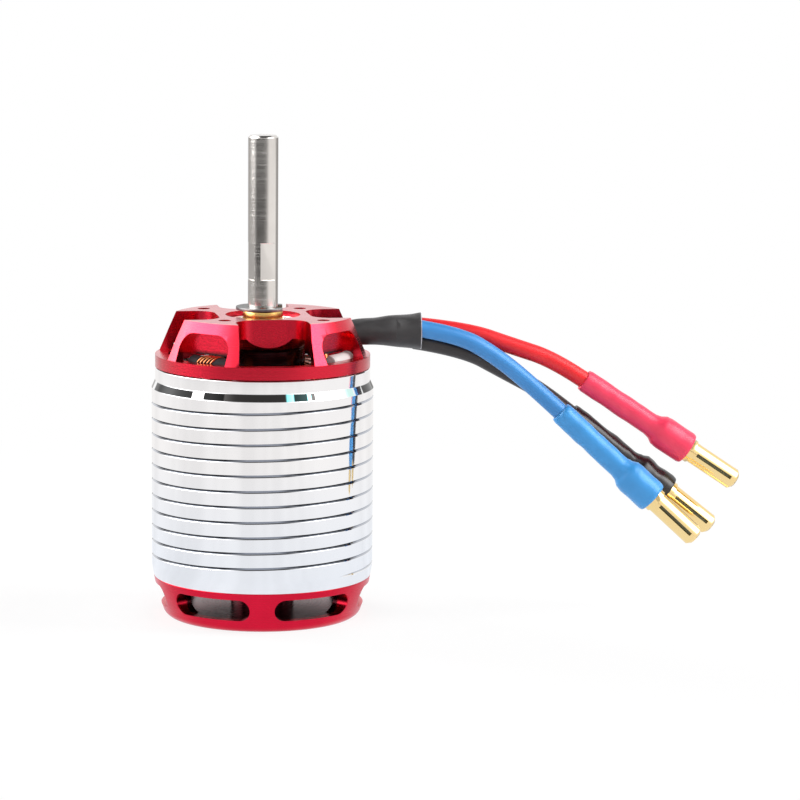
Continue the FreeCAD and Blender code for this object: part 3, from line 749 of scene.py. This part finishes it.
def woundLoop(shape, radius, halfWidth, reach):
    # one flat turn of wire round a tooth that points along +X
    low, high = (coil["low"] - reach) * mm, (coil["high"] + reach) * mm
    corner = 0.5 * halfWidth * mm
    half = halfWidth * mm
    path = []
    for ySign, zSign in ((-1, -1), (1, -1), (1, 1), (-1, 1)):
        centreY = ySign * (half - corner)
        centreZ = (low + corner) if zSign < 0 else (high - corner)
        first = {(-1, -1): 180, (1, -1): 270, (1, 1): 0, (-1, 1): 90}[(ySign, zSign)]
        for step in range(4):
            angle = math.radians(first + 30 * step)
            across, up = corner * math.cos(angle), corner * math.sin(angle)
            path.append(Vector((radius * mm, centreY + across, centreZ + up)))
    rings = []
    wireRadius = coil["wire"] * mm
    for index, point in enumerate(path):
        ahead = (path[(index + 1) % len(path)] - path[index - 1]).normalized()
        place = Matrix.Translation(point) @ ahead.to_track_quat("Z", "Y").to_matrix().to_4x4()
        ring = bmesh.ops.create_circle(shape, segments=coil["sides"], radius=wireRadius, matrix=place)
        outward = Vector((1, 0, 0))
        sideways = ahead.cross(outward)
        rings.append(sorted(ring["verts"], key=lambda v: math.atan2((v.co - point).dot(outward),
                                                                    (v.co - point).dot(sideways))))
    skinRings(shape, rings, joined=True)


def makeCoil(number):
    shape = bmesh.new()
    for turn in range(coil["turns"]):
        share = turn / (coil["turns"] - 1)
        radius = coil["inner"] + share * (coil["outer"] - coil["inner"])
        for layer in range(coil["layers"]):
            # the second layer lies in the dips of the first, so it has one turn fewer
            if layer == 1 and turn == 0:
                continue
            shift = 0.5 * coil["wire"] if layer else 0.0
            raised = layer * coil["nesting"] * 2 * coil["wire"]
            woundLoop(shape, radius - shift, coil["halfWidth"] + raised, coil["wire"] + raised)
    bmesh.ops.rotate(shape, verts=shape.verts, cent=(0, 0, 0),
                     matrix=Matrix.Rotation(math.radians((number - 1) * 30 - 90), 3, "Z"))
    bmesh.ops.recalc_face_normals(shape, faces=shape.faces)
    nodeName = "coil_%02d" % number
    return finishPiece(shape, "coil%02d" % number, "stator", "copper_wire", [nodeName], 60.0,
                       weighted=False)


for number in range(1, 13):
    makeCoil(number)
print("coils wound")


# heat-shrink over the leads' ends

shrink = {"steps": 48, "lumpStart": 0.6, "lumpEnd": 25.6}
shrinkLump = {"blue": 0.10, "red": 0.09, "black": 0.16}
shrinkSeed = {"blue": 3.1, "red": 8.4, "black": 14.2}
shrinkProfiles = {
    "blue": [(1.80, 0.0), (2.20, 0.12), (2.36, 0.8), (2.33, 3.0), (2.38, 6.0), (2.32, 9.0), (2.37, 12.5),
             (2.35, 16.4), (2.60, 17.7), (3.22, 18.8), (3.42, 20.2), (3.38, 23.0), (3.42, 25.4),
             (3.22, 25.9), (2.75, 26.0), (2.56, 25.9)],
    "red": [(1.80, 0.0), (2.20, 0.12), (2.32, 0.8), (2.36, 3.4), (2.30, 6.4), (2.36, 9.4), (2.33, 12.8),
            (2.36, 16.6), (2.62, 17.8), (3.24, 18.9), (3.42, 20.4), (3.36, 23.2), (3.40, 25.4),
            (3.22, 25.9), (2.75, 26.0), (2.56, 25.9)],
    "black": [(1.80, 0.0), (2.20, 0.12), (2.32, 0.8), (2.35, 4.0), (2.30, 8.0), (2.36, 12.0),
              (2.34, 16.0), (2.75, 17.6), (3.30, 18.6), (3.28, 19.8), (3.08, 21.4), (3.30, 23.6),
              (3.40, 25.2), (3.20, 25.9), (2.75, 26.0), (2.56, 25.9)],
}


def atLeadEnd(shape, colour):
    # moves a shape made along +Z to the end of its lead, pointing on from it
    last, before = (Vector(leadRoutes[colour][index]) * mm for index in (-1, -2))
    bmesh.ops.recalc_face_normals(shape, faces=shape.faces)
    bmesh.ops.transform(shape, matrix=alongLine(last, last - before), verts=shape.verts)


def makeShrink(colour):
    points = shrinkProfiles[colour]
    fine = []
    for (r0, z0), (r1, z1) in zip(points, points[1:]):
        parts = max(1, round((z1 - z0) / 0.5))
        for part in range(parts):
            share = part / parts
            ease = share * share * (3 - 2 * share)
            fine.append((r0 + (r1 - r0) * ease, z0 + (z1 - z0) * share))
    fine.append(points[-1])
    shape = spunProfile(fine, shrink["steps"])
    for vert in shape.verts:
        across = math.hypot(vert.co.x, vert.co.y)
        x, y, z = (value / mm for value in vert.co)
        if shrink["lumpStart"] < z < shrink["lumpEnd"]:
            swell = noise.noise(Vector((x * 0.5 + shrinkSeed[colour], y * 0.5, z * 0.42)))
            scale = 1 + shrinkLump[colour] * mm * swell / across
            vert.co.x *= scale
            vert.co.y *= scale
    atLeadEnd(shape, colour)
    return finishPiece(shape, colour + "Shrink", "stator", colour + "_shrink", [colour + "_shrink"], 60.0,
                       weighted=False)


plugCore = {"radius": 1.24, "start": 27.0, "end": 37.2, "edge": 0.25}


def makePlugCore(colour):
    # a dark core inside each plug, its colour painted shade that shows through the plug's slits
    radius, start, end, edge = (plugCore[key] for key in ("radius", "start", "end", "edge"))
    profile = [(0.0, start), (radius, start), (radius, end - edge), (radius - edge, end), (0.0, end)]
    shape = spunProfile(profile, 32)
    atLeadEnd(shape, colour)
    piece = finishPiece(shape, colour + "PlugCore", "stator", "gold_plate", [], 40.0)
    piece.data.materials[0] = finishes["paintedSlitShade"]
    return piece


shrinks = {colour: makeShrink(colour) for colour in leadRoutes}
plugCores = {colour: makePlugCore(colour) for colour in leadRoutes}
print("leads finished")


# floor, sky and lamps

room = {"floorSize": 6.0, "floorColour": (0.86, 0.85, 0.85), "nearShow": 0.86, "nearRadius": 0.05,
        "farRadius": 0.22, "sky": 0.50, "dark": 0.12, "darkFade": 0.16}
lamps = [
    {"name": "leftBox", "place": (-0.86, 0.60, 0.34), "size": (0.46, 0.50), "power": 11.0},
    {"name": "rightBox", "place": (0.95, -0.05, 0.55), "size": (0.50, 0.50), "power": 11.0},
    {"name": "frontFill", "place": (-0.25, -1.30, 0.75), "size": (0.9, 0.6), "power": 5.0},
]

# how bright polished metal sees the floor: streaks near the motor, and far off by bearing in degrees
mirrored = {"streakFrom": 0.38, "streakTo": 0.56, "streakLow": 0.90, "farFrom": 0.36, "farTo": 0.44,
            "warmFrom": 0.07, "warmTo": 0.22}
farStops = [(-180, 0.50), (-112, 0.50), (-68, 0.42), (-44, 0.08), (0, 0.06), (24, 0.24), (50, 1.0),
            (104, 1.0), (128, 0.35), (180, 0.50)]


def floorShine(tree, place):
    # what polished metal shows of the floor: white near the motor, uneven all round further off
    flat = flattened(tree, place)
    out = distance(tree, flat)
    way = addNode(tree, "ShaderNodeVectorMath", {0: flat}, operation="NORMALIZE").outputs[0]
    streaks = grain(tree, way, 1.5, 3.0, 0.55)
    near = spread(tree, streaks, mirrored["streakLow"], 1.0, mirrored["streakFrom"], mirrored["streakTo"])
    bearing = bearingRound(tree, way)
    ramp = addNode(tree, "ShaderNodeValToRGB", {0: spread(tree, bearing, 0, 1, -math.pi, math.pi)})
    stops = ramp.color_ramp.elements
    while len(stops) < len(farStops):
        stops.new(0.5)
    for stop, (angle, shade) in zip(stops, farStops):
        stop.position = (angle + 180) / 360
        stop.color = (shade, shade * 0.985, shade * 0.97, 1)
    far = spread(tree, out, 0, 1, mirrored["farFrom"], mirrored["farTo"])
    level = blendValue(tree, far, near, ramp.outputs["Color"])
    warmth = spread(tree, out, 0, 1, mirrored["warmFrom"], mirrored["warmTo"])
    return level, blendColour(tree, warmth, (0.90, 0.94, 1.0), (1.0, 0.98, 0.965))


def makeFloor():
    shape = bmesh.new()
    bmesh.ops.create_grid(shape, x_segments=1, y_segments=1, size=room["floorSize"] / 2)
    mesh = bpy.data.meshes.new("floor")
    shape.to_mesh(mesh)
    shape.free()
    floor = bpy.data.objects.new("floor", mesh)
    bpy.context.scene.collection.objects.link(floor)
    material = bpy.data.materials.new("floorPaper")
    material.use_nodes = True
    tree = material.node_tree
    tree.nodes.clear()
    place = addNode(tree, "ShaderNodeTexCoord").outputs["Object"]
    rays = addNode(tree, "ShaderNodeLightPath").outputs
    seen = calc(tree, "MAXIMUM", rays["Is Camera Ray"], rays["Is Glossy Ray"])
    seen = calc(tree, "MAXIMUM", seen, rays["Is Transmission Ray"])
    out = distance(tree, place)
    show = spread(tree, out, room["nearShow"], 1.0, room["nearRadius"], room["farRadius"])
    amount = calc(tree, "MULTIPLY", seen, show)
    level, tint = floorShine(tree, place)
    strength = blendValue(tree, rays["Is Glossy Ray"], 1.0, level)
    colour = blendColour(tree, rays["Is Glossy Ray"], (1, 1, 1), tint)
    paper = addNode(tree, "ShaderNodeBsdfDiffuse", {"Color": (*room["floorColour"], 1)})
    white = addNode(tree, "ShaderNodeEmission", {"Color": colour, "Strength": strength})
    mixed = addNode(tree, "ShaderNodeMixShader", {0: amount, 1: paper.outputs[0], 2: white.outputs[0]})
    output = addNode(tree, "ShaderNodeOutputMaterial")
    tree.links.new(mixed.outputs[0], output.inputs["Surface"])
    mesh.materials.append(material)


# soft lights that only polished surfaces show: angles in degrees out from the way they lie
skySpots = [
    {"way": (-0.86, 0.0, 0.50), "outer": 50.0, "inner": 24.0, "strength": 7.0},
    {"way": (0.766, -0.286, 0.575), "outer": 36.0, "inner": 12.0, "strength": 7.0},
]
# the dark part of the reflected sky starts higher up behind the motor and to its right
skyEdge = {"behindFrom": 0.35, "behindTo": 0.75, "rightFrom": 0.45, "rightTo": 0.75, "front": 0.60,
           "behind": 0.30, "right": 0.60}


def softSpot(tree, way, facts):
    towards = Vector(facts["way"]).normalized()
    near = addNode(tree, "ShaderNodeVectorMath", {0: way, 1: towards}, operation="DOT_PRODUCT")
    outer, inner = (math.cos(math.radians(facts[key])) for key in ("outer", "inner"))
    share = spread(tree, near.outputs["Value"], 0, 1, outer, inner)
    return calc(tree, "MULTIPLY", calc(tree, "POWER", share, 2.0), facts["strength"])


def makeSky():
    world = bpy.data.worlds.new("studio")
    bpy.context.scene.world = world
    world.use_nodes = True
    tree = world.node_tree
    tree.nodes.clear()
    rays = addNode(tree, "ShaderNodeLightPath").outputs
    around = addNode(tree, "ShaderNodeTexCoord").outputs["Generated"]
    way = axes(tree, around)
    # reflections: bright round the horizon and behind, dark from low up in front to overhead
    behind = spread(tree, way["Y"], 0, 1, skyEdge["behindFrom"], skyEdge["behindTo"])
    right = spread(tree, way["X"], 0, 1, skyEdge["rightFrom"], skyEdge["rightTo"])
    edge = calc(tree, "MULTIPLY_ADD", behind, skyEdge["behind"], skyEdge["front"])
    edge = calc(tree, "MULTIPLY_ADD", right, skyEdge["right"], edge)
    past = calc(tree, "SUBTRACT", way["Z"], edge)
    shine = spread(tree, past, 1.0, room["dark"], 0.0, room["darkFade"])
    for facts in skySpots:
        shine = calc(tree, "ADD", shine, softSpot(tree, around, facts))
    level = blendValue(tree, rays["Is Glossy Ray"], room["sky"], shine)
    seen = calc(tree, "MAXIMUM", rays["Is Camera Ray"], rays["Is Transmission Ray"])
    level = blendValue(tree, seen, level, 1.0)
    background = addNode(tree, "ShaderNodeBackground", {"Color": (1, 1, 1, 1), "Strength": level})
    output = addNode(tree, "ShaderNodeOutputWorld")
    tree.links.new(background.outputs[0], output.inputs["Surface"])


def hangLamp(facts):
    data = bpy.data.lights.new(facts["name"], "AREA")
    data.shape = "RECTANGLE"
    data.size, data.size_y = facts["size"]
    data.energy = facts["power"]
    lamp = bpy.data.objects.new(facts["name"], data)
    bpy.context.scene.collection.objects.link(lamp)
    place = Vector(facts["place"])
    lamp.matrix_world = alongLine(place, place - Vector((0, 0, 0.04)))
    # polished surfaces show the sky's soft spots and not the lamps
    lamp.visible_glossy = False


makeFloor()
makeSky()
for facts in lamps:
    hangLamp(facts)
bpy.context.scene.view_settings.view_transform = "Standard"
print("studio lit")
